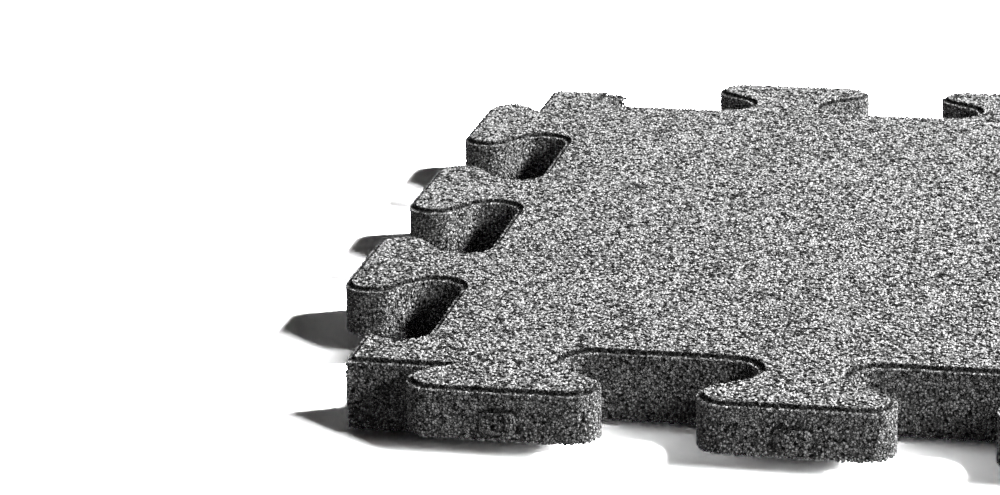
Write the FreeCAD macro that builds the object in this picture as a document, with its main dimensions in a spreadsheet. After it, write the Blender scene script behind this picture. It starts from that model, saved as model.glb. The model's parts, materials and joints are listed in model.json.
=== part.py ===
"""Interlocking safety tile moulded in one piece from bound rubber granulate.

The frame: +Z is up, the tile lies flat with its feet on z = 0, and the origin is the middle of the tile.
Each side begins with a knob and ends with a socket, going round anticlockwise as seen from above.
The knobs stand half the lock's depth outside the side line and the sockets lie as deep inside it.
"""

import FreeCAD, Part

import math
import os

import Sketcher

# How a sketch numbers its own origin and the points of a line or arc.
ORIGIN = (-1, 1)
START, END, CENTRE = range(1, 4)

# Name, size in millimetres or degrees, and what it measures.
SIZES = [
    ("side", 500, "side line to side line, the pitch at which tiles are laid"),
    ("foot_height", 4, "drainage gap between the floor and the underside"),
    ("body_height", 36, "underside to the top face"),
    ("knobs", 3, "knobs on one side, and as many sockets"),
    ("corner_block", 46, "corner of the side lines to the first knob's flank"),
    ("lock_depth", 61, "from a socket's back wall to a knob's front"),
    ("flank_run", 14, "straight flank between a knob's round end and a socket's"),
    ("flank_angle", 55, "undercut of the flanks, degrees from square to the side"),
    ("knob_lift", 10, "underside of a knob's head above the tile's underside"),
    ("rim_width", 3.5, "ledge round the top edge, in plan"),
    ("rim_drop", 2, "top face down to that ledge"),
    ("nub_width", 18, "spacer nub on a knob's front, along the side"),
    ("nub_height", 10.5, "spacer nub, upright"),
    ("nub_proud", 2.5, "spacer nub, out from the front"),
    ("nub_corner", 3, "corner radius of the spacer nub"),
    ("nub_above", 4.5, "knob's underside to the lower edge of the nub"),
    ("foot_radius", 6.5, "round feet"),
    ("neck_foot_in", 12, "side line to the middle of the foot under each knob's neck"),
    ("corner_foot_in", 22, "side lines to the middle of the foot in each corner"),
    ("inner_feet", 4, "feet in a row, and rows, inside the ring of sockets"),
    ("inner_feet_edge", 35, "a socket's back wall to the middle of the nearest inner feet"),
]

doc = FreeCAD.newDocument("safety_tile")
sheet = doc.addObject("Spreadsheet::Sheet", "sizes")
for row, (name, value, note) in enumerate(SIZES, start=1):
    sheet.set(f"A{row}", name)
    sheet.set(f"B{row}", str(value))
    sheet.set(f"C{row}", note)
    sheet.setAlias(f"B{row}", name)
doc.recompute()

tile = doc.addObject("PartDesign::Body", "tile")
tile.Label = "tile"

# Formulas of the sheet, for setExpression: lengths are plain numbers there.
PITCH = "((sizes.side - 2 * sizes.corner_block) / sizes.knobs)"
FIRST_KNOB = f"(-sizes.side / 2 + sizes.corner_block + {PITCH} / 4)"
FIRST_SOCKET = f"({FIRST_KNOB} + {PITCH} / 2)"
SIN_FLANK = "sin(sizes.flank_angle * 1 deg)"
COS_FLANK = "cos(sizes.flank_angle * 1 deg)"
LOBE_RADIUS = f"((sizes.lock_depth - sizes.flank_run * {COS_FLANK}) / 2 / (1 + {SIN_FLANK}))"
LOBE_OUT = f"(sizes.lock_depth / 2 - {LOBE_RADIUS})"
LOBE_ASIDE = f"({PITCH} / 4 - {LOBE_RADIUS} * {COS_FLANK} + sizes.flank_run / 2 * {SIN_FLANK})"
LEDGE_TOP = "(sizes.foot_height + sizes.body_height - sizes.rim_drop)"
TOP = "(sizes.foot_height + sizes.body_height)"
KNOB_UNDER = "(sizes.foot_height + sizes.knob_lift)"
KNOB_FRONT = "(sizes.side / 2 + sizes.lock_depth / 2)"


def value_of(formula):
    """The number that a formula of the sheet gives now."""
    result = sheet.evalExpression(formula)
    return float(getattr(result, "Value", result))


def plane(role):
    """One of the tile's own base planes or axes."""
    for feature in tile.Origin.OriginFeatures:
        if feature.Role == role:
            return feature
    raise RuntimeError(f"the tile has no {role}")


def level_sketch(name, height):
    """An empty sketch that lies flat at a height above the floor."""
    sketch = tile.newObject("Sketcher::SketchObject", name)
    sketch.AttachmentSupport = [(plane("XY_Plane"), "")]
    sketch.MapMode = "FlatFace"
    sketch.setExpression("AttachmentOffset.Base.z", f"{height} * 1 mm")
    return sketch


def bind(sketch, kind, *where, formula, unit="mm"):
    """Adds a dimension to the sketch and ties it to a formula of the sheet."""
    now = value_of(formula)
    if unit == "deg":
        now = math.radians(now)
    index = sketch.addConstraint(Sketcher.Constraint(kind, *where, now))
    sketch.setExpression(f"Constraints[{index}]", f"({formula}) * 1 {unit}")


def square_sketch(name, height, half):
    """A square about the tile's middle, given by the formula of half its side."""
    sketch = level_sketch(name, height)
    reach = value_of(half)
    corners = [(-reach, -reach), (reach, -reach), (reach, reach), (-reach, reach)]
    for here, there in zip(corners, corners[1:] + corners[:1]):
        sketch.addGeometry(Part.LineSegment(FreeCAD.Vector(*here, 0), FreeCAD.Vector(*there, 0)))
    for edge in range(4):
        sketch.addConstraint(Sketcher.Constraint("Coincident", edge, END, (edge + 1) % 4, START))
        sketch.addConstraint(Sketcher.Constraint("Vertical" if edge % 2 else "Horizontal", edge))
    for corner, sign in ((0, "-"), (2, "")):
        bind(sketch, "DistanceX", *ORIGIN, corner, START, formula=f"{sign}{half}")
        bind(sketch, "DistanceY", *ORIGIN, corner, START, formula=f"{sign}{half}")
    return sketch


def lock_sketch(name, height, middle, turn, inset):
    """Outline of a knob's head (turn 0) or of a socket (turn 180) at the front side line.

    Two round lobes stand at the ends of a flat front, and straight flanks run in from them to the base line.
    The inset moves the outline into the material, so it thins a knob and widens a socket. A knob's base is
    the inset side line. A socket's base is where the inset flanks come nearest to the side line's crossings.
    """
    sketch = level_sketch(name, height)
    sign = 1 if turn else -1
    radius = f"({LOBE_RADIUS} {'+' if turn else '-'} {inset})"
    base_shift = f"(-{inset} * {SIN_FLANK})" if turn else inset
    line = f"(-sizes.side / 2 + {base_shift})"
    lobe_height = f"(-sizes.side / 2 + {sign} * {LOBE_OUT})"
    x, y0, y1 = value_of(middle), value_of(line), value_of(lobe_height)
    r, aside = value_of(radius), value_of(LOBE_ASIDE)
    angle = math.radians(value_of("sizes.flank_angle"))
    out = abs(y1 - y0)
    spread = aside + r * math.cos(angle) - (out - r * math.sin(angle)) * math.tan(angle)

    def at(along, outward):
        """A point from its distances along the side and out from the base line."""
        return FreeCAD.Vector(x - sign * along, y0 + sign * outward, 0)

    def lobe(along, first, last):
        circle = Part.Circle(at(along, out), FreeCAD.Vector(0, 0, 1), r)
        shift = math.pi if turn else 0
        return Part.ArcOfCircle(circle, first + shift, last + shift)

    far = out - r * math.sin(angle)
    edge = aside + r * math.cos(angle)
    sketch.addGeometry(Part.LineSegment(at(spread, 0), at(-spread, 0)))
    sketch.addGeometry(Part.LineSegment(at(-spread, 0), at(-edge, far)))
    sketch.addGeometry(lobe(-aside, math.pi - angle, 1.5 * math.pi))
    sketch.addGeometry(Part.LineSegment(at(-aside, out + r), at(aside, out + r)))
    sketch.addGeometry(lobe(aside, 1.5 * math.pi, 2 * math.pi + angle))
    sketch.addGeometry(Part.LineSegment(at(edge, far), at(spread, 0)))
    base, flank_a, lobe_a, front, lobe_b, flank_b = range(6)
    sketch.addConstraint(Sketcher.Constraint("Coincident", base, END, flank_a, START))
    sketch.addConstraint(Sketcher.Constraint("Tangent", flank_a, END, lobe_a, START))
    sketch.addConstraint(Sketcher.Constraint("Tangent", lobe_a, END, front, START))
    sketch.addConstraint(Sketcher.Constraint("Tangent", front, END, lobe_b, START))
    sketch.addConstraint(Sketcher.Constraint("Tangent", lobe_b, END, flank_b, START))
    sketch.addConstraint(Sketcher.Constraint("Coincident", flank_b, END, base, START))
    sketch.addConstraint(Sketcher.Constraint("Horizontal", base))
    sketch.addConstraint(Sketcher.Constraint("Horizontal", front))
    sketch.addConstraint(Sketcher.Constraint("Equal", lobe_a, lobe_b))
    bind(sketch, "Radius", lobe_a, formula=radius)
    bind(sketch, "DistanceY", *ORIGIN, base, START, formula=line)
    bind(sketch, "DistanceY", *ORIGIN, lobe_a, CENTRE, formula=lobe_height)
    bind(sketch, "DistanceX", *ORIGIN, lobe_a, CENTRE, formula=f"{middle} + {sign} * {LOBE_ASIDE}")
    bind(sketch, "DistanceX", *ORIGIN, lobe_b, CENTRE, formula=f"{middle} - {sign} * {LOBE_ASIDE}")
    bind(sketch, "Angle", flank_a, formula=f"{turn} - 90 - sizes.flank_angle", unit="deg")
    bind(sketch, "Angle", flank_b, formula=f"{turn} + 90 + sizes.flank_angle", unit="deg")
    return sketch


def raise_from(name, sketch, length):
    """The pad of a sketch, upwards."""
    pad = tile.newObject("PartDesign::Pad", name)
    pad.Profile = sketch
    pad.setExpression("Length", f"{length} * 1 mm")
    return pad


def sink_from(name, sketch, length):
    """The pocket of a sketch, downwards."""
    pocket = tile.newObject("PartDesign::Pocket", name)
    pocket.Profile = sketch
    pocket.setExpression("Length", f"{length} * 1 mm")
    return pocket


def along(name, axis, count, pitch):
    """A row of copies along an axis of the tile."""
    row = doc.addObject("PartDesign::LinearPattern", name)
    row.Direction = (axis, [""])
    row.Mode = "Spacing"
    row.setExpression("Occurrences", count)
    row.setExpression("Offset", f"{pitch} * 1 mm")
    return row


def on_four_sides(name):
    """A copy on each side of the tile."""
    turn = doc.addObject("PartDesign::PolarPattern", name)
    turn.Axis = (plane("Z_Axis"), [""])
    turn.Angle = 360
    turn.Occurrences = 4
    return turn


def copy_on(name, features, transformations):
    """Copies features by several patterns, one after the other."""
    copies = tile.newObject("PartDesign::MultiTransform", name)
    copies.Originals = features
    for transformation in transformations:
        tile.addObject(transformation)
    copies.Transformations = transformations
    tile.Tip = copies
    return copies


def copy_round(name, features):
    """Copies what one knob or socket has to all of them: three along the side, on four sides."""
    row = along(f"{name}_row", plane("X_Axis"), "sizes.knobs", PITCH)
    return copy_on(name, features, [row, on_four_sides(f"{name}_turn")])


def lock_level(word, bottom, top, inset, knob_bottom):
    """One level of the tile: its square, its knobs and its sockets, all inset alike."""
    square = square_sketch(f"{word}_square", bottom, f"(sizes.side / 2 - {inset})")
    raise_from(f"{word}_slab", square, f"({top} - {bottom})")
    knob_outline = lock_sketch(f"{word}_knob_outline", knob_bottom, FIRST_KNOB, 0, inset)
    knob = raise_from(f"{word}_knob", knob_outline, f"({top} - {knob_bottom})")
    socket_outline = lock_sketch(f"{word}_socket_outline", top, FIRST_SOCKET, 180, inset)
    socket = sink_from(f"{word}_socket", socket_outline, f"({top} - {bottom})")
    copy_round(f"{word}_locks", [knob, socket])


def rounded_box(sketch, x_low, x_high, y_low, y_high, corner):
    """A rectangle with round corners; all five are formulas of the sheet."""
    x0, x1, y0, y1, r = (value_of(formula) for formula in (x_low, x_high, y_low, y_high, corner))
    centres = [(x0 + r, y0 + r), (x1 - r, y0 + r), (x1 - r, y1 - r), (x0 + r, y1 - r)]
    for quarter, (x, y) in enumerate(centres):
        start = math.pi * (1 + quarter / 2)
        circle = Part.Circle(FreeCAD.Vector(x, y, 0), FreeCAD.Vector(0, 0, 1), r)
        sketch.addGeometry(Part.ArcOfCircle(circle, start, start + math.pi / 2))
    sides = [((x0 + r, y0), (x1 - r, y0)), ((x1, y0 + r), (x1, y1 - r))]
    sides += [((x1 - r, y1), (x0 + r, y1)), ((x0, y1 - r), (x0, y0 + r))]
    for here, there in sides:
        sketch.addGeometry(Part.LineSegment(FreeCAD.Vector(*here, 0), FreeCAD.Vector(*there, 0)))
    for arc in range(4):
        edge = 4 + arc
        sketch.addConstraint(Sketcher.Constraint("Tangent", arc, END, edge, START))
        sketch.addConstraint(Sketcher.Constraint("Tangent", edge, END, (arc + 1) % 4, START))
        sketch.addConstraint(Sketcher.Constraint("Vertical" if arc % 2 else "Horizontal", edge))
        if arc:
            sketch.addConstraint(Sketcher.Constraint("Equal", 0, arc))
    bind(sketch, "Radius", 0, formula=corner)
    bind(sketch, "DistanceY", *ORIGIN, 4, START, formula=y_low)
    bind(sketch, "DistanceX", *ORIGIN, 5, START, formula=x_high)
    bind(sketch, "DistanceY", *ORIGIN, 6, START, formula=y_high)
    bind(sketch, "DistanceX", *ORIGIN, 7, START, formula=x_low)


def nubs():
    """On each knob's front, a spacer nub that holds the joint between two tiles open."""
    nub_outline = tile.newObject("Sketcher::SketchObject", "nub_outline")
    nub_outline.AttachmentSupport = [(plane("XZ_Plane"), "")]
    nub_outline.MapMode = "FlatFace"
    nub_outline.setExpression("AttachmentOffset.Base.z", f"{KNOB_FRONT} * 1 mm")
    low = f"({KNOB_UNDER} + sizes.nub_above)"
    rounded_box(
        nub_outline,
        f"({FIRST_KNOB} - sizes.nub_width / 2)",
        f"({FIRST_KNOB} + sizes.nub_width / 2)",
        low,
        f"({low} + sizes.nub_height)",
        "sizes.nub_corner",
    )
    nub = raise_from("nub", nub_outline, "sizes.nub_proud")
    copy_round("nubs", [nub])


def foot(name, x, y):
    """One round foot, its middle given by two formulas of the sheet."""
    outline = level_sketch(f"{name}_outline", "0")
    middle = FreeCAD.Vector(value_of(x), value_of(y), 0)
    circle = Part.Circle(middle, FreeCAD.Vector(0, 0, 1), value_of("sizes.foot_radius"))
    outline.addGeometry(circle)
    bind(outline, "Radius", 0, formula="sizes.foot_radius")
    bind(outline, "DistanceX", *ORIGIN, 0, CENTRE, formula=x)
    bind(outline, "DistanceY", *ORIGIN, 0, CENTRE, formula=y)
    return raise_from(name, outline, "sizes.foot_height")


def feet():
    """Round feet under the knobs' necks, in the corners and in rows, with ways for water between them."""
    neck_foot = foot("neck_foot", FIRST_KNOB, "(-sizes.side / 2 + sizes.neck_foot_in)")
    copy_round("neck_feet", [neck_foot])
    corner = "(-sizes.side / 2 + sizes.corner_foot_in)"
    corner_foot = foot("corner_foot", corner, corner)
    copy_on("corner_feet", [corner_foot], [on_four_sides("corner_feet_turn")])
    first = "(-sizes.side / 2 + sizes.lock_depth / 2 + sizes.inner_feet_edge)"
    pitch = f"(-2 * {first} / (sizes.inner_feet - 1))"
    inner_foot = foot("inner_foot", first, first)
    row = along("inner_feet_row", plane("X_Axis"), "sizes.inner_feet", pitch)
    rows = along("inner_feet_rows", plane("Y_Axis"), "sizes.inner_feet", pitch)
    copy_on("inner_feet", [inner_foot], [row, rows])


def check(part):
    """Stops the build if anything in the document failed or the part isn't one sound solid."""
    for thing in doc.Objects:
        if "Invalid" in thing.State or "Error" in thing.State:
            raise RuntimeError(f"{thing.Name} failed")
    if part.Shape.isNull() or not part.Shape.isValid() or len(part.Shape.Solids) != 1:
        raise RuntimeError(f"{part.Label} is not one sound solid")


lock_level("body", "sizes.foot_height", LEDGE_TOP, "0", KNOB_UNDER)
lock_level("top", LEDGE_TOP, TOP, "sizes.rim_width", LEDGE_TOP)
nubs()
feet()
doc.recompute()
check(tile)
os.makedirs("parts", exist_ok=True)
tile.Shape.exportStep(f"parts/{tile.Label}.step")
print(tile.Label, round(tile.Shape.Volume), tile.Shape.BoundBox)
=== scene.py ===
"""Looks of an interlocking safety tile pressed from bound rubber granulate.

A dark core stands a little inside the moulded skin. Crumbs of rubber cover it, pressed flat where they reach
the mould, and the gaps between them are the pores of the granulate.
"""

import json
import math

import bmesh
import bpy
import numpy as np
from mathutils import Matrix, Vector

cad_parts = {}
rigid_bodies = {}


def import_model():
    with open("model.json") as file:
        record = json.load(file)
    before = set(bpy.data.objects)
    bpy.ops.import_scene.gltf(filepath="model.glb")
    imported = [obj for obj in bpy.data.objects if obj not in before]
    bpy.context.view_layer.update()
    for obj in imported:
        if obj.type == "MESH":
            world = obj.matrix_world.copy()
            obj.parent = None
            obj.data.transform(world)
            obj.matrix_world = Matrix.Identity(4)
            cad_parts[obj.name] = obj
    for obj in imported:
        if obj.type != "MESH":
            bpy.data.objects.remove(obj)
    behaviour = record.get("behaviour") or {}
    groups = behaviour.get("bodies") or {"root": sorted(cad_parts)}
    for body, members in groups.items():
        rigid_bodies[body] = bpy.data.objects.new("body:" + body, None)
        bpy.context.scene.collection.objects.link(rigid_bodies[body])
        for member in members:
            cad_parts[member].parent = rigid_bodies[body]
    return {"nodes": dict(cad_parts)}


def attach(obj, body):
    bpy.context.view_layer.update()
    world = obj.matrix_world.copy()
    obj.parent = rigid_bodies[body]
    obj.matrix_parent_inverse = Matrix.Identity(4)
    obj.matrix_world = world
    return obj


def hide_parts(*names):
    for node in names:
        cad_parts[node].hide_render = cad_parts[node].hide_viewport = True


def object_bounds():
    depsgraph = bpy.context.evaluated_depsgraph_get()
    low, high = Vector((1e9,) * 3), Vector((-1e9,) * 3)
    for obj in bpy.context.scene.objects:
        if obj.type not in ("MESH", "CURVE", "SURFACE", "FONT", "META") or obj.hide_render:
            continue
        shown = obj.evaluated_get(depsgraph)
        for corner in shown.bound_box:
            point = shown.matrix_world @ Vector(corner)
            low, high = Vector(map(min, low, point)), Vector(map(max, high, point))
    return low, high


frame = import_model()
CAD_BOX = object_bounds()

bl_info = {
    "name": "Granulate Safety Tile",
    "version": (1, 0, 0),
    "blender": (4, 5, 0),
    "location": "3D View > Sidebar > Safety Tile",
    "description": "Dresses a moulded interlocking tile in rubber crumbs and sets its studio stage",
    "category": "Object",
}

TILE = "tile"
BODY = "root"
SIDES = ("front", "right", "back", "left")

# Heights on the tile and places measured outwards from its middle, in metres.
RIM_DROP = 0.002
NUB_HEIGHT = 0.0025
LEDGE_HEIGHT = CAD_BOX[1][2] - RIM_DROP
NUB_ROOT = CAD_BOX[1][0] - NUB_HEIGHT
NUB_MIDDLE = 0.019
UNDERSIDE_HEIGHT = 0.0035
MERGE = 1e-6
NEAR = 1e-4
LEVEL_EDGE = 1e-3

# A crumb counts as on the ledge from a little below it, as on the top from a little above it, and as on a nub
# once it stands proud of the side.
BELOW_LEDGE = 0.0003
ABOVE_LEDGE = 0.001
PROUD = 0.0003
SHARP = math.radians(50)
FACES_UP, FACES_DOWN, FACES_SIDEWAYS = 0.6, -0.5, 0.7

# How pale a grain gets along the way from a material's dark to its full share, each step as (place, mix).
TONE_STEPS = ((0.0, 0.0), (0.15, 0.35), (0.55, 0.6), (1.0, 1.0))
PLAIN_MIX = 0.3
PORE_EDGES = (0.05, 0.14)
PALE_LEVEL = 0.4
SHEEN_ROUGHNESS = 0.3

# Each random value of a crumb has a draw of its own.
DRAWS = {"shape": 1, "turn": 2, "size": 3, "grain": 4, "lie": 5}
POINTS_TRIED = 3.0

PICTURE_WIDTH = 1000
FILM_WIDTH = 36.0
FAR_CLIP = 100.0
FLOOR_ROUGHNESS = 0.9
WHITE = (1.0, 1.0, 1.0)
BLACK = (0.0, 0.0, 0.0)


class GranulateSettings(bpy.types.PropertyGroup):
    """Sizes and colours of the rubber crumbs."""

    seed: bpy.props.IntProperty(name="Seed", description="Draw of all that is random", default=11)
    gap: bpy.props.FloatProperty(
        name="Crumb spacing", description="Least distance between crumbs", default=0.00145, unit="LENGTH"
    )
    gap_under: bpy.props.FloatProperty(
        name="Spacing underneath", description="Least distance between crumbs below", default=0.0026,
        unit="LENGTH",
    )
    smallest: bpy.props.FloatProperty(
        name="Smallest crumb", description="Half the width of the finest crumbs", default=0.0011,
        unit="LENGTH",
    )
    largest: bpy.props.FloatProperty(
        name="Largest crumb", description="Half the width of the coarsest crumbs", default=0.0017,
        unit="LENGTH",
    )
    sink: bpy.props.FloatProperty(
        name="Sink", description="A crumb's middle below the moulded skin", default=0.0004, unit="LENGTH"
    )
    unevenness: bpy.props.FloatProperty(
        name="Unevenness", description="How far pressed faces tilt below the skin", default=0.00025,
        unit="LENGTH",
    )
    core_depth: bpy.props.FloatProperty(
        name="Core depth", description="Core between the crumbs, below the skin", default=0.0007,
        unit="LENGTH",
    )
    # The paler strip along outward edges is painted highlight.
    lip_width: bpy.props.FloatProperty(
        name="Lip width", description="Paler strip along outward edges", default=0.0008, unit="LENGTH"
    )
    # The darker strip along inward edges is painted shade.
    crease_width: bpy.props.FloatProperty(
        name="Crease width", description="Darker strip along inward edges", default=0.0012, unit="LENGTH"
    )
    nub_slope: bpy.props.FloatProperty(
        name="Nub slope", description="How wide the sloping flank of a nub is", default=0.0022,
        unit="LENGTH",
    )
    shapes: bpy.props.IntProperty(name="Crumb shapes", description="Different crumbs drawn", default=12)
    grains_per_metre: bpy.props.FloatProperty(
        name="Grains per metre", description="How fine the grains on a crumb are", default=760.0
    )
    dark: bpy.props.FloatVectorProperty(
        name="Dark rubber", description="Crumbs of clean black rubber", subtype="COLOR",
        default=(0.006, 0.006, 0.006),
    )
    light: bpy.props.FloatVectorProperty(
        name="Scuffed rubber", description="Crumbs with a grey torn face", subtype="COLOR",
        default=(0.85, 0.85, 0.85),
    )


class StageSettings(bpy.types.PropertyGroup):
    """The camera, the lamps and the floor."""

    camera_place: bpy.props.FloatVectorProperty(
        name="Camera", description="Where the camera stands", subtype="XYZ", unit="LENGTH",
        default=(0.1300, -1.6031, 0.5406),
    )
    pan: bpy.props.FloatProperty(
        name="Pan", description="Turned left of straight ahead", subtype="ANGLE", default=0.22084
    )
    tilt: bpy.props.FloatProperty(
        name="Tilt", description="Looking down from level", subtype="ANGLE", default=0.30872
    )
    roll: bpy.props.FloatProperty(
        name="Roll", description="Turned about its line of sight", subtype="ANGLE", default=-0.02135
    )
    focal_pixels: bpy.props.FloatProperty(
        name="Focal length", description="In pixels of a picture 1000 wide", default=3155.0
    )
    floor_colour: bpy.props.FloatVectorProperty(
        name="Floor", description="Plain pale floor", subtype="COLOR", default=(0.25, 0.25, 0.25)
    )
    floor_lift: bpy.props.FloatProperty(
        name="Floor lift", description="How much paler the camera sees the floor", default=80.0
    )
    floor_size: bpy.props.FloatProperty(
        name="Floor size", description="Side of the floor", default=24.0, unit="LENGTH"
    )
    key_power: bpy.props.FloatProperty(
        name="Key", description="Watts of the box on the right", default=150.0
    )
    key_bearing: bpy.props.FloatProperty(
        name="Key bearing", description="From the right towards the back", subtype="ANGLE",
        default=math.radians(17),
    )
    key_elevation: bpy.props.FloatProperty(
        name="Key elevation", description="Above the floor", subtype="ANGLE", default=math.radians(38)
    )
    front_power: bpy.props.FloatProperty(
        name="Front", description="Watts of the box at the front", default=21.0
    )
    front_bearing: bpy.props.FloatProperty(
        name="Front bearing", description="From the right towards the back", subtype="ANGLE",
        default=math.radians(-40),
    )
    front_elevation: bpy.props.FloatProperty(
        name="Front elevation", description="Above the floor", subtype="ANGLE", default=math.radians(25)
    )
    lamp_distance: bpy.props.FloatProperty(
        name="Lamp distance", description="From the tile to each box", default=2.65, unit="LENGTH"
    )
    lamp_width: bpy.props.FloatProperty(
        name="Lamp width", description="Of each box", default=0.6, unit="LENGTH"
    )
    lamp_height: bpy.props.FloatProperty(
        name="Lamp height", description="Of each box", default=0.5, unit="LENGTH"
    )
    fill_level: bpy.props.FloatProperty(name="Fill", description="Light from all round", default=0.001)


class NodeMaker:
    """Adds nodes to a tree and puts values or links into their inputs."""

    def __init__(self, tree):
        self.tree = tree

    def put(self, socket, value):
        if isinstance(value, bpy.types.NodeSocket):
            self.tree.links.new(value, socket)
        else:
            socket.default_value = value

    def add(self, kind, values=None, **settings):
        """A node with its own settings, and with values by the names of its inputs."""
        node = self.tree.nodes.new(kind)
        for name, value in settings.items():
            setattr(node, name, value)
        for name, value in (values or {}).items():
            self.put(node.inputs[name], value)
        return node

    def math(self, operation, *values):
        node = self.add("ShaderNodeMath", operation=operation)
        for socket, value in zip(node.inputs, values):
            self.put(socket, value)
        return node.outputs["Value"]

    def vector(self, operation, *values):
        """Arithmetic on vectors, the last value being the scale where that is the operation."""
        node = self.add("ShaderNodeVectorMath", operation=operation)
        sockets = (node.inputs[0], node.inputs["Scale"]) if operation == "SCALE" else node.inputs
        for socket, value in zip(sockets, values):
            self.put(socket, value)
        return node.outputs["Value" if operation == "DOT_PRODUCT" else "Vector"]

    def ramp(self, value, stops):
        """A colour ramp from stops of (place, colour)."""
        node = self.add("ShaderNodeValToRGB", {"Fac": value})
        elements = node.color_ramp.elements
        elements[0].position, elements[0].color = stops[0][0], (*stops[0][1], 1)
        elements[1].position, elements[1].color = stops[-1][0], (*stops[-1][1], 1)
        for place, colour in stops[1:-1]:
            elements.new(place).color = (*colour, 1)
        return node.outputs["Color"]


class CoverMaker(NodeMaker):
    """Adds geometry nodes that read the inputs of their group."""

    def __init__(self, tree):
        super().__init__(tree)
        self.given = self.add("NodeGroupInput").outputs
        self.place = self.add("GeometryNodeInputPosition").outputs["Position"]

    def random(self, kind, low, high, draw):
        """A random value for each point, crumb or corner."""
        node = self.add("FunctionNodeRandomValue", data_type=kind)
        sockets = {socket.name: socket for socket in node.inputs if socket.enabled}
        self.put(sockets["Min"], low)
        self.put(sockets["Max"], high)
        self.put(sockets["Seed"], self.math("ADD", self.given["Seed"], DRAWS[draw]))
        return next(socket for socket in node.outputs if socket.enabled)

    def moved(self, geometry, **how):
        """The geometry with its points moved, by a selection, a position or an offset."""
        values = {name.capitalize(): value for name, value in how.items()}
        return self.add("GeometryNodeSetPosition", {"Geometry": geometry} | values).outputs["Geometry"]

    def object_shape(self, name):
        """The shape of the object that an input holds."""
        return self.add("GeometryNodeObjectInfo", {"Object": self.given[name]}).outputs["Geometry"]

    def distance_to(self, name, element):
        shape = self.object_shape(name)
        near = self.add("GeometryNodeProximity", {"Geometry": shape}, target_element=element)
        return near.outputs["Distance"]


def principled_material(name):
    """A material with a maker for its nodes and its Principled shader's inputs."""
    material = bpy.data.materials.new(name)
    material.use_nodes = True
    tree = material.node_tree
    return material, NodeMaker(tree), tree.nodes["Principled BSDF"].inputs


def crumb_material(
    settings, name, paleness=1.0, fineness=1.0, dark_share=0.15, full=0.8, own_share=0.25, smooth=0.4,
    rough=0.9, shine=0.2, sheen=0.4, relief=0.0005, pore_width=1.0,
):
    """Torn rubber, black and grey grains with black pores between, the pale grains smoother than the dark.

    Grains are black below the dark share of all tones and palest from the full share on. A crumb's own tone
    has its own share in the tone of its grains.
    """
    material, maker, shader = principled_material(name)
    coordinates = maker.add("ShaderNodeTexCoord").outputs["Object"]
    grain_cells = {"Vector": coordinates, "Scale": settings.grains_per_metre * fineness}

    grains = maker.add("ShaderNodeTexVoronoi", grain_cells, feature="F1").outputs["Color"]
    shade = maker.add("ShaderNodeSeparateColor", {"Color": grains}).outputs["Red"]
    crumb = maker.add("ShaderNodeAttribute", attribute_name="grain").outputs["Fac"]
    tone = maker.math("MULTIPLY_ADD", shade, 1 - own_share, maker.math("MULTIPLY", crumb, own_share))
    dark, light = Vector(settings.dark), Vector(settings.light) * paleness
    width = full - dark_share
    stops = [(dark_share + width * place, dark.lerp(light, mix)) for place, mix in TONE_STEPS]
    edge = maker.add("ShaderNodeTexVoronoi", grain_cells, feature="DISTANCE_TO_EDGE").outputs["Distance"]
    pore_stops = [(place * pore_width, colour) for place, colour in zip(PORE_EDGES, (BLACK, WHITE))]
    colour = maker.vector("MULTIPLY", maker.ramp(tone, stops), maker.ramp(edge, pore_stops))
    shader["Base Color"].default_value = (*dark.lerp(light, PLAIN_MIX), 1)
    maker.put(shader["Base Color"], colour)

    polish = {"Value": colour, "From Max": PALE_LEVEL, "To Min": rough, "To Max": smooth}
    maker.put(shader["Roughness"], maker.add("ShaderNodeMapRange", polish).outputs["Result"])
    shader["Specular IOR Level"].default_value = shine
    shader["Sheen Weight"].default_value = sheen
    shader["Sheen Roughness"].default_value = SHEEN_ROUGHNESS
    bump = maker.add("ShaderNodeBump", {"Strength": 1.0, "Distance": relief, "Height": edge})
    maker.put(shader["Normal"], bump.outputs["Normal"])
    return material


def crumb_materials(settings):
    """The rubber of each place on the tile, by the names of the cover's inputs. The ledge's rubber is
    darkened as painted shade and the lip's paled as painted highlight.
    """
    return {
        "Walls": crumb_material(
            settings, "wall_rubber", paleness=1.1, dark_share=0.05, full=0.68, own_share=0.15
        ),
        "Top": crumb_material(
            settings, "top_rubber", paleness=1.15, fineness=0.8, dark_share=0.35, full=0.55, own_share=0.15,
            smooth=0.3, rough=1.0, sheen=0.2, relief=0.001, pore_width=0.45,
        ),
        # Ledge: rubber darkened on the rim, its step and along creases as painted shade.
        "Ledge": crumb_material(settings, "ledge_and_crease_painted_shade", paleness=0.15, shine=0.1, sheen=0.1),
        # Lip: paler, shinier rubber along outward edges and on nub flanks as painted highlight.
        "Lip": crumb_material(
            settings, "lip_painted_highlight", paleness=1.15, full=0.5, smooth=0.3, rough=0.5, shine=0.5, sheen=0.6
        ),
    }


def new_mesh(name, shape):
    """A mesh of a bmesh, which is freed."""
    mesh = bpy.data.meshes.new(name)
    shape.to_mesh(mesh)
    shape.free()
    return mesh


def new_piece(name, mesh):
    """An object at the origin that shows a mesh."""
    piece = bpy.data.objects.new(name, mesh)
    bpy.context.scene.collection.objects.link(piece)
    return piece


def moulded_skin():
    """The tile's own surface with its loose triangles joined up, as a bmesh."""
    skin = bmesh.new()
    skin.from_mesh(frame["nodes"][TILE].data)
    bmesh.ops.remove_doubles(skin, verts=skin.verts, dist=MERGE)
    for face in skin.faces:
        face.smooth = False
    skin.normal_update()
    return skin


def reach(place):
    """How far out from the tile's middle a place is, to whichever side it is farthest."""
    return max(abs(place.x), abs(place.y))


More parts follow.
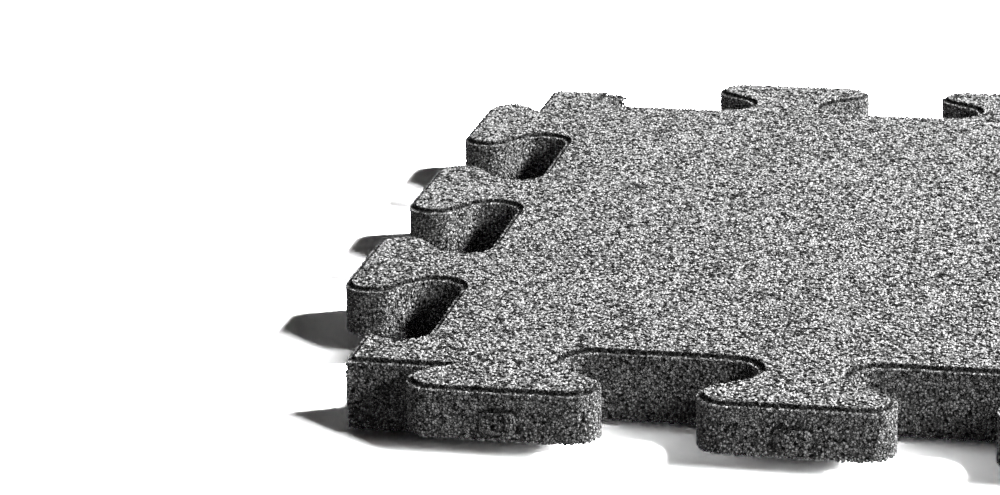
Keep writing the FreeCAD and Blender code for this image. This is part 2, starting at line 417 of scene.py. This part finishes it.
def wire(name, chosen):
    """The level edges of the rim and the nubs that a test on their angle takes, as a piece of wire."""
    skin = moulded_skin()
    places = []
    for edge in skin.edges:
        ends = [vertex.co for vertex in edge.verts]
        middle = (ends[0] + ends[1]) / 2
        level = abs(ends[0].z - ends[1].z) < LEVEL_EDGE and middle.z > NUB_MIDDLE
        at_rim_or_nub = middle.z > LEDGE_HEIGHT - NEAR or reach(middle) > NUB_ROOT - NEAR
        if edge.is_manifold and level and at_rim_or_nub and chosen(edge.calc_face_angle_signed()):
            places += [tuple(end) for end in ends]
    skin.free()
    mesh = bpy.data.meshes.new(name)
    mesh.from_pydata(places, [(i, i + 1) for i in range(0, len(places), 2)], [])
    return new_piece(name, mesh)


def nub_flanks():
    """The upright flanks of the nubs, from which their faces slope up."""
    skin = moulded_skin()
    drop = []
    for face in skin.faces:
        middle = face.calc_center_median()
        across = face.normal.x if abs(middle.y) > abs(middle.x) else face.normal.y
        if reach(middle) < NUB_ROOT + NEAR or abs(across) < FACES_SIDEWAYS:
            drop.append(face)
    bmesh.ops.delete(skin, geom=drop, context="FACES")
    return new_piece("nub_flanks", new_mesh("nub_flanks", skin))


def inset_along_faces(shape, depth):
    """Moves every face inwards by a depth, and each corner to where its own faces then meet."""
    same_way, near_parallel = 0.999, 0.05
    moves = []
    for vertex in shape.verts:
        normals = []
        for face in vertex.link_faces:
            if all(face.normal.dot(other) < same_way for other in normals):
                normals.append(face.normal.copy())
        depths = np.full(len(normals), -depth)
        moves.append(Vector(np.linalg.lstsq(np.array(normals), depths, rcond=near_parallel)[0]))
    for vertex, move in zip(shape.verts, moves):
        vertex.co += move


def flatten_nubs(shape, root):
    """Takes the nubs off the core, so that crumbs alone make them and their sloping flanks."""
    for vertex in shape.verts:
        for axis in (0, 1):
            vertex.co[axis] = max(-root, min(root, vertex.co[axis]))


def is_under(face):
    return face.normal.z < FACES_DOWN or face.calc_center_median().z < UNDERSIDE_HEIGHT


def outwards(turns):
    """The level direction that stands out from the front side, turned by a number of quarter turns."""
    angle = math.pi / 2 * turns
    return Vector((math.sin(angle), -math.cos(angle), 0))


def part_of_skin(side):
    """The skin of one quarter of the tile, the side's edge and its share of the top, or the underside."""
    skin = moulded_skin()
    drop = [face for face in skin.faces if is_under(face) != (side is None)]
    bmesh.ops.delete(skin, geom=drop, context="FACES")
    if side is not None:
        turns = SIDES.index(side)
        for cut_off in (outwards(turns - 1.5), -outwards(turns - 0.5)):
            geometry = skin.verts[:] + skin.edges[:] + skin.faces[:]
            bmesh.ops.bisect_plane(
                skin, geom=geometry, plane_co=(0, 0, 0), plane_no=cut_off, clear_outer=True
            )
    return new_mesh("skin_part", skin)


def crumb_shapes(settings):
    """A collection of torn crumbs, eight-faced lumps about one unit in radius."""
    collection = bpy.data.collections.new("crumb_shapes")
    random = np.random.default_rng(settings.seed)
    shortest, scatter = 0.75, 0.22
    for number in range(settings.shapes):
        lump = bmesh.new()
        for corner in ((1, 0, 0), (-1, 0, 0), (0, 1, 0), (0, -1, 0), (0, 0, 1), (0, 0, -1)):
            place = np.array(corner) * random.uniform(shortest, 1.0) + random.normal(0, scatter, 3)
            lump.verts.new(place / max(1.0, np.linalg.norm(place)))
        bmesh.ops.convex_hull(lump, input=lump.verts)
        name = f"crumb_shape_{number}"
        collection.objects.link(bpy.data.objects.new(name, new_mesh(name, lump)))
    return collection


def scattered_crumbs(maker):
    """Crumbs of random shape, turn and size, their middles sunk into the skin."""
    given = maker.given
    spaced_area = maker.math("MULTIPLY", given["Spacing"], given["Spacing"])
    points = maker.add("GeometryNodeDistributePointsOnFaces", {
        "Mesh": given["Geometry"],
        "Distance Min": given["Spacing"],
        "Density Max": maker.math("DIVIDE", POINTS_TRIED, spaced_area),
        "Seed": given["Seed"],
    }, distribute_method="POISSON").outputs
    inward = maker.vector("SCALE", points["Normal"], maker.math("MULTIPLY", given["Sink"], -1.0))
    shapes = maker.add("GeometryNodeCollectionInfo", {
        "Collection": given["Crumbs"], "Separate Children": True, "Reset Children": True,
    })
    last = maker.math("SUBTRACT", given["Shapes"], 1.0)
    crumbs = maker.add("GeometryNodeInstanceOnPoints", {
        "Points": maker.moved(points["Points"], offset=inward),
        "Instance": shapes.outputs["Instances"],
        "Pick Instance": True,
        "Instance Index": maker.random("INT", 0, last, "shape"),
        "Rotation": maker.random("FLOAT_VECTOR", (0.0,) * 3, (math.tau,) * 3, "turn"),
        "Scale": maker.random("FLOAT", given["Smallest"], given["Largest"], "size"),
    })
    grain = maker.add("GeometryNodeStoreNamedAttribute", {
        "Geometry": crumbs.outputs["Instances"],
        "Name": "grain",
        "Value": maker.random("FLOAT", 0.0, 1.0, "grain"),
    }, data_type="FLOAT", domain="INSTANCE")
    real = maker.add("GeometryNodeRealizeInstances", {"Geometry": grain.outputs["Geometry"]})
    return real.outputs["Geometry"]


def pressed_crumbs(maker, crumbs, skin, facing):
    """Presses what stands out of the skin onto it, or a little below, and keeps it in the skin's box."""
    near = maker.add("GeometryNodeProximity", {"Geometry": skin}, target_element="FACES").outputs
    away = maker.vector("SUBTRACT", maker.place, near["Position"])
    lie = maker.random("FLOAT", 0.0, maker.given["Unevenness"], "lie")
    over = maker.math("ADD", maker.vector("DOT_PRODUCT", away, facing), lie)
    on_skin = maker.vector("SUBTRACT", near["Position"], maker.vector("SCALE", facing, lie))
    too_high = maker.math("GREATER_THAN", over, 0.0)
    pressed = maker.moved(crumbs, selection=too_high, position=on_skin)
    box = maker.add("GeometryNodeBoundBox", {"Geometry": skin}).outputs
    held = maker.vector("MINIMUM", maker.vector("MAXIMUM", maker.place, box["Min"]), box["Max"])
    return maker.moved(pressed, position=held)


def painted_crumbs(maker, crumbs, facing, from_flank, proud):
    """Gives the crumbs the rubber of their place, each rule over the ones before it. The dark ledge rubber on
    the rim, its step and near creases is painted shade; the pale lip rubber along outward edges and on the
    nubs' sloping flanks is painted highlight.
    """
    given = maker.given
    height = maker.add("ShaderNodeSeparateXYZ", {"Vector": maker.place}).outputs["Z"]
    upright = maker.add("ShaderNodeSeparateXYZ", {"Vector": facing}).outputs["Z"]
    ledge_from = maker.math("SUBTRACT", given["Ledge height"], BELOW_LEDGE)
    top_from = maker.math("ADD", given["Ledge height"], ABOVE_LEDGE)
    at_rim = maker.math("GREATER_THAN", height, ledge_from)
    creased = maker.math("LESS_THAN", maker.distance_to("Creases", "EDGES"), given["Crease width"])
    edged = maker.math("LESS_THAN", maker.distance_to("Sharp edges", "EDGES"), given["Lip width"])
    level = maker.math("GREATER_THAN", upright, FACES_UP)
    sloping = maker.math("LESS_THAN", from_flank, given["Nub slope"])
    on_nub = maker.math("GREATER_THAN", proud, PROUD)
    rules = (
        ("Walls", True),
        # Painted shade: the dark ledge rubber on the rim, its step and near creases.
        ("Ledge", maker.math("MAXIMUM", at_rim, creased)),
        ("Top", maker.math("MULTIPLY", level, maker.math("GREATER_THAN", height, top_from))),
        # Painted highlight: pale lip rubber along outward edges and on the nubs' sloping flanks.
        ("Lip", maker.math("MAXIMUM", edged, maker.math("MULTIPLY", sloping, on_nub))),
    )
    for name, selection in rules:
        paint = {"Geometry": crumbs, "Selection": selection, "Material": given[name]}
        crumbs = maker.add("GeometryNodeSetMaterial", paint).outputs["Geometry"]
    return crumbs


def cover_tree():
    """Geometry nodes that press crumbs into a skin, slope the flanks of the nubs and paint all by place, with
    painted shade on the rim and creases and painted highlight on outward edges and nub flanks.
    """
    tree = bpy.data.node_groups.new("crumb_cover", "GeometryNodeTree")
    inputs = {
        "Geometry": ("Geometry",),
        "Object": ("Whole skin", "Sharp edges", "Creases", "Nub flanks"),
        "Collection": ("Crumbs",),
        "Material": ("Walls", "Top", "Ledge", "Lip"),
        "Float": (
            "Spacing", "Smallest", "Largest", "Sink", "Unevenness", "Ledge height", "Lip width",
            "Crease width", "Nub root", "Nub slope",
        ),
        "Vector": ("Outwards",),
        "Int": ("Seed", "Shapes"),
    }
    for kind, names in inputs.items():
        for name in names:
            tree.interface.new_socket(name, in_out="INPUT", socket_type=f"NodeSocket{kind}")
    tree.interface.new_socket("Geometry", in_out="OUTPUT", socket_type="NodeSocketGeometry")

    maker = CoverMaker(tree)
    given = maker.given
    skin = maker.object_shape("Whole skin")
    normal = maker.add("GeometryNodeInputNormal").outputs["Normal"]
    facing = maker.add(
        "GeometryNodeSampleNearestSurface", {"Mesh": skin, "Value": normal}, data_type="FLOAT_VECTOR"
    ).outputs["Value"]
    crumbs = pressed_crumbs(maker, scattered_crumbs(maker), skin, facing)

    from_flank = maker.distance_to("Nub flanks", "FACES")
    reached = maker.vector("DOT_PRODUCT", maker.place, given["Outwards"])
    proud = maker.math("MAXIMUM", maker.math("SUBTRACT", reached, given["Nub root"]), 0.0)
    share = maker.math("MINIMUM", maker.math("DIVIDE", from_flank, given["Nub slope"]), 1.0)
    cut = maker.math("MULTIPLY", proud, maker.math("SUBTRACT", share, 1.0))
    crumbs = maker.moved(crumbs, offset=maker.vector("SCALE", given["Outwards"], cut))
    crumbs = painted_crumbs(maker, crumbs, facing, from_flank, proud)
    maker.add("NodeGroupOutput", {"Geometry": crumbs})
    return tree


def cover(name, skin_part, tree, values):
    """The crumbs of one part of the skin, as a plain mesh piece."""
    host = new_piece(f"{name}_host", skin_part)
    modifier = host.modifiers.new("crumbs", "NODES")
    modifier.node_group = tree
    for socket in tree.interface.items_tree:
        if socket.in_out == "INPUT" and socket.name in values:
            modifier[socket.identifier] = values[socket.name]
    bpy.context.view_layer.update()
    graph = bpy.context.evaluated_depsgraph_get()
    mesh = bpy.data.meshes.new_from_object(host.evaluated_get(graph))
    host.modifiers.remove(modifier)
    bpy.data.objects.remove(host)
    mesh.name = name
    return new_piece(name, mesh)


class SAFETYTILE_OT_core(bpy.types.Operator):
    """Add the dark core, which shows in the pores between the crumbs"""

    bl_idname = "safety_tile.core"
    bl_label = "Add Core"

    def execute(self, context):
        settings = context.scene.granulate
        shape = moulded_skin()
        inset_along_faces(shape, settings.core_depth)
        flatten_nubs(shape, NUB_ROOT - settings.core_depth)
        core = new_piece("binder_core", new_mesh("binder_core", shape))
        core.data.materials.append(
            crumb_material(settings, "deep_rubber", paleness=0.4, dark_share=0.05, own_share=0.0, shine=0.1)
        )
        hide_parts(TILE)
        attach(core, BODY)
        return {"FINISHED"}


class SAFETYTILE_OT_crumbs(bpy.types.Operator):
    """Cover the core with crumbs, a piece for each side and one for the underside"""

    bl_idname = "safety_tile.crumbs"
    bl_label = "Add Crumbs"

    def execute(self, context):
        settings = context.scene.granulate
        tree = cover_tree()
        shapes = crumb_shapes(settings)
        helpers = {
            "Whole skin": new_piece("whole_skin", new_mesh("whole_skin", moulded_skin())),
            "Sharp edges": wire("sharp_edges", lambda angle: angle > SHARP),
            "Creases": wire("creases", lambda angle: angle < -SHARP),
            "Nub flanks": nub_flanks(),
        }
        values = helpers | crumb_materials(settings) | {
            "Crumbs": shapes,
            "Ledge height": LEDGE_HEIGHT,
            "Lip width": settings.lip_width,
            "Crease width": settings.crease_width,
            "Nub root": NUB_ROOT,
            "Nub slope": settings.nub_slope,
            "Smallest": settings.smallest,
            "Largest": settings.largest,
            "Sink": settings.sink,
            "Unevenness": settings.unevenness,
            "Seed": settings.seed,
            "Shapes": settings.shapes,
        }
        for turns, side in enumerate(SIDES):
            values |= {"Spacing": settings.gap, "Outwards": tuple(outwards(turns))}
            self.add_cover(f"crumbs_{side}", part_of_skin(side), tree, values)
        values |= {"Spacing": settings.gap_under, "Outwards": (0.0, 0.0, 0.0)}
        self.add_cover("crumbs_under", part_of_skin(None), tree, values)
        for helper in (*helpers.values(), *shapes.objects):
            bpy.data.objects.remove(helper)
        bpy.data.collections.remove(shapes)
        return {"FINISHED"}

    def add_cover(self, name, skin_part, tree, values):
        piece = cover(name, skin_part, tree, values)
        if not piece.data.polygons:
            raise RuntimeError(f"{piece.name} has no crumbs")
        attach(piece, BODY)


def add_camera(settings):
    """A level camera, panned left, tilted down and then rolled about its line of sight."""
    data = bpy.data.cameras.new("camera")
    data.sensor_width = FILM_WIDTH
    data.lens = settings.focal_pixels / PICTURE_WIDTH * FILM_WIDTH
    data.clip_end = FAR_CLIP
    camera = bpy.data.objects.new("camera", data)
    bpy.context.scene.collection.objects.link(camera)
    turned = Matrix.Rotation(settings.pan, 4, "Z") @ Matrix.Rotation(math.pi / 2 - settings.tilt, 4, "X")
    turned = turned @ Matrix.Rotation(settings.roll, 4, "Z")
    camera.matrix_world = Matrix.Translation(settings.camera_place) @ turned
    bpy.context.scene.camera = camera


def add_lamp(name, bearing, elevation, power, settings):
    """A soft box that points at the tile, its bearing from +X towards +Y."""
    data = bpy.data.lights.new(name, "AREA")
    data.shape = "RECTANGLE"
    data.size, data.size_y = settings.lamp_width, settings.lamp_height
    data.energy = power
    level = math.cos(elevation)
    towards = Vector((level * math.cos(bearing), level * math.sin(bearing), math.sin(elevation)))
    lamp = bpy.data.objects.new(name, data)
    lamp.location = towards * settings.lamp_distance
    lamp.rotation_euler = towards.to_track_quat("Z", "Y").to_euler()
    bpy.context.scene.collection.objects.link(lamp)


def seen_directly(maker):
    """One for rays from the camera, also by way of a mirror or glass, and nothing for soft light."""
    path = maker.add("ShaderNodeLightPath").outputs
    passed_on = maker.math("MAXIMUM", path["Is Glossy Ray"], path["Is Transmission Ray"])
    unscattered = maker.math("LESS_THAN", path["Diffuse Depth"], 0.5)
    return maker.math("MAXIMUM", path["Is Camera Ray"], maker.math("MULTIPLY", passed_on, unscattered))


def white_world(settings):
    """Soft light from all round, which the camera and reflections see as white."""
    world = bpy.data.worlds.new("studio")
    bpy.context.scene.world = world
    world.use_nodes = True
    maker = NodeMaker(world.node_tree)
    background = world.node_tree.nodes["Background"].inputs
    background["Color"].default_value = (*WHITE, 1)
    maker.put(background["Strength"], maker.math("MAXIMUM", seen_directly(maker), settings.fill_level))


def add_floor(settings):
    """A plain floor that the tile lies on, which the camera sees paler than it lights the tile."""
    half = settings.floor_size / 2
    mesh = bpy.data.meshes.new("floor")
    corners = [(-half, -half, 0), (half, -half, 0), (half, half, 0), (-half, half, 0)]
    mesh.from_pydata(corners, [], [(0, 1, 2, 3)])
    floor = new_piece("floor", mesh)
    material, maker, shader = principled_material("pale_floor")
    colour = Vector(settings.floor_colour)
    mixed = maker.add("ShaderNodeMix", data_type="RGBA")
    plain, lifted = [socket for socket in mixed.inputs if socket.type == "RGBA"]
    plain.default_value, lifted.default_value = (*colour, 1), (*(colour * settings.floor_lift), 1)
    maker.put(mixed.inputs["Factor"], maker.add("ShaderNodeLightPath").outputs["Is Camera Ray"])
    maker.put(shader["Base Color"], next(socket for socket in mixed.outputs if socket.type == "RGBA"))
    shader["Roughness"].default_value = FLOOR_ROUGHNESS
    shader["Specular IOR Level"].default_value = 0.0
    floor.data.materials.append(material)


class SAFETYTILE_OT_stage(bpy.types.Operator):
    """Set the camera, the lamps, the white surroundings and the floor"""

    bl_idname = "safety_tile.stage"
    bl_label = "Set Stage"

    def execute(self, context):
        settings = context.scene.stage
        context.scene.view_settings.view_transform = "Standard"
        add_camera(settings)
        white_world(settings)
        add_lamp(
            "right_back_box", settings.key_bearing, settings.key_elevation, settings.key_power, settings
        )
        add_lamp(
            "front_box", settings.front_bearing, settings.front_elevation, settings.front_power, settings
        )
        add_floor(settings)
        return {"FINISHED"}


class SAFETYTILE_PT_panel(bpy.types.Panel):
    """The tile's settings and steps in the sidebar"""

    bl_idname = "SAFETYTILE_PT_panel"
    bl_label = "Safety Tile"
    bl_space_type = "VIEW_3D"
    bl_region_type = "UI"
    bl_category = "Safety Tile"

    def draw(self, context):
        for group in (context.scene.granulate, context.scene.stage):
            box = self.layout.box()
            for name in group.bl_rna.properties.keys():
                if name not in {"rna_type", "name"}:
                    box.prop(group, name)
        for step in STEPS:
            self.layout.operator(step.bl_idname)


STEPS = (SAFETYTILE_OT_core, SAFETYTILE_OT_crumbs, SAFETYTILE_OT_stage)
CLASSES = (GranulateSettings, StageSettings, *STEPS, SAFETYTILE_PT_panel)


def register():
    for cls in CLASSES:
        bpy.utils.register_class(cls)
    bpy.types.Scene.granulate = bpy.props.PointerProperty(type=GranulateSettings)
    bpy.types.Scene.stage = bpy.props.PointerProperty(type=StageSettings)


def unregister():
    del bpy.types.Scene.stage
    del bpy.types.Scene.granulate
    for cls in reversed(CLASSES):
        bpy.utils.unregister_class(cls)


def main():
    register()
    bpy.ops.safety_tile.core()
    bpy.ops.safety_tile.crumbs()
    bpy.ops.safety_tile.stage()


if __name__ == "__main__":
    main()
